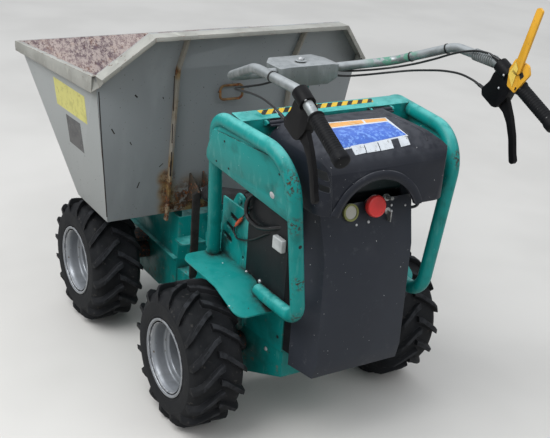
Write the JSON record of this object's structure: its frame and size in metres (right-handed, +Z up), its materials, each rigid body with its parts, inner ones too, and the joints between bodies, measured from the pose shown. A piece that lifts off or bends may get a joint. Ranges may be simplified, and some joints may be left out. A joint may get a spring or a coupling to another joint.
{
  "type": "site dumper",
  "caption": "Small walk-behind articulated site dumper: open sheet skip on the front unit, guard loops, moulded hood and tall handlebars on the rear unit, lugged tyres.",
  "frame": {"origin": "on the ground at the middle of the machine's length and width", "axes": "+X forward to the skip, +Y to the machine's left, +Z up"},
  "size_m": [1.724, 0.9352, 1.2613],
  "materials": {
    "teal_paint": "worn gloss paint",
    "axle_steel": "dull black",
    "dark_block": "matt black",
    "dark_moulding": "scuffed moulded plastic",
    "red_plastic": "gloss",
    "gauge_ring": "gloss",
    "key_metal": "dull steel",
    "cable_rubber": "matt",
    "white_plastic": "matt",
    "galvanised": "mottled zinc",
    "grip_rubber": "ribbed",
    "black_plastic": "matt",
    "yellow_metal": "satin paint",
    "skip_grey": "worn paint",
    "rim_cream": "worn paint",
    "rusty_rod": "rusty",
    "ram_steel": "black paint",
    "rod_chrome": "bright",
    "tyre": "dusty rubber",
    "rim_silver": "silver paint"
  },
  "bodies": {
    "rear_unit": {"rear_chassis": "teal_paint", "rear_axle": "axle_steel", "battery_box": "dark_block", "slotted_panels": "teal_paint", "guard_loop_left": "teal_paint", "guard_loop_right": "teal_paint", "side_panels": "teal_paint", "cross_plate": "teal_paint", "step_plate_left": "teal_paint", "step_plate_right": "teal_paint", "rear_panel": "dark_moulding", "stop_button": "red_plastic", "gauge": "gauge_ring", "key_switch": "key_metal", "power_cable": "cable_rubber", "battery_cable": "cable_rubber", "connector": "white_plastic", "bar_post": "galvanised", "yoke_box": "galvanised", "handlebar_left": "galvanised", "handlebar_right": "galvanised", "grips": "grip_rubber", "lever_housings": "black_plastic", "brake_levers": "black_plastic", "yellow_lever": "yellow_metal", "brake_cables": "cable_rubber"},
    "front_unit": {"front_chassis": "teal_paint", "front_axle": "axle_steel", "neck": "teal_paint", "ram_bracket": "teal_paint", "latch_bar": "key_metal"},
    "skip": {"skip_shell": "skip_grey", "skip_rim": "rim_cream", "skip_ribs": "skip_grey", "ram_lugs": "skip_grey", "hand_loop": "rusty_rod"},
    "ram_barrel": {"ram_barrel": "ram_steel"},
    "ram_rod": {"ram_rod": "rod_chrome"},
    "hood": {"hood": "dark_moulding"},
    "wheel_front_left": {"tyre_front_left": "tyre", "rim_front_left": "rim_silver"},
    "wheel_front_right": {"tyre_front_right": "tyre", "rim_front_right": "rim_silver"},
    "wheel_rear_left": {"tyre_rear_left": "tyre", "rim_rear_left": "rim_silver"},
    "wheel_rear_right": {"tyre_rear_right": "tyre", "rim_rear_right": "rim_silver"}
  },
  "joints": [
    {"name": "steer", "type": "hinge", "parent": "rear_unit", "child": "front_unit", "pos_m": [-0.11, 0, 0.19], "axis": [0, 0, 1], "range_deg": [-30, 30]},
    {"name": "tip", "type": "hinge", "parent": "front_unit", "child": "skip", "pos_m": [0.465, 0, 0.345], "axis": [0, 1, 0], "range_deg": [0, 55]},
    {"name": "ram_swing", "type": "hinge", "parent": "front_unit", "child": "ram_barrel", "pos_m": [-0.16, 0.1, 0.6], "axis": [0, 1, 0], "range_deg": [-30.5, 1]},
    {"name": "ram_slide", "type": "slide", "parent": "ram_barrel", "child": "ram_rod", "axis": [0.9553, 0, -0.2957], "range_m": [-0.001, 0.21]},
    {"name": "hood_lid", "type": "hinge", "parent": "rear_unit", "child": "hood", "pos_m": [-0.374, 0, 0.906], "axis": [0, 1, 0], "range_deg": [0, 75]},
    {"name": "spin_front_left", "type": "hinge", "parent": "front_unit", "child": "wheel_front_left", "pos_m": [0.42, 0.337, 0.205], "axis": [0, 1, 0], "continuous": true},
    {"name": "spin_front_right", "type": "hinge", "parent": "front_unit", "child": "wheel_front_right", "pos_m": [0.42, -0.337, 0.205], "axis": [0, 1, 0], "continuous": true},
    {"name": "spin_rear_left", "type": "hinge", "parent": "rear_unit", "child": "wheel_rear_left", "pos_m": [-0.264, 0.337, 0.205], "axis": [0, 1, 0], "continuous": true},
    {"name": "spin_rear_right", "type": "hinge", "parent": "rear_unit", "child": "wheel_rear_right", "pos_m": [-0.264, -0.337, 0.205], "axis": [0, 1, 0], "continuous": true}
  ],
  "couplings": [
    {"joint": "ram_swing", "follows": "tip", "ratio": -0.545},
    {"joint": "ram_slide", "follows": "tip", "m_per_rad": 0.2175}
  ]
}
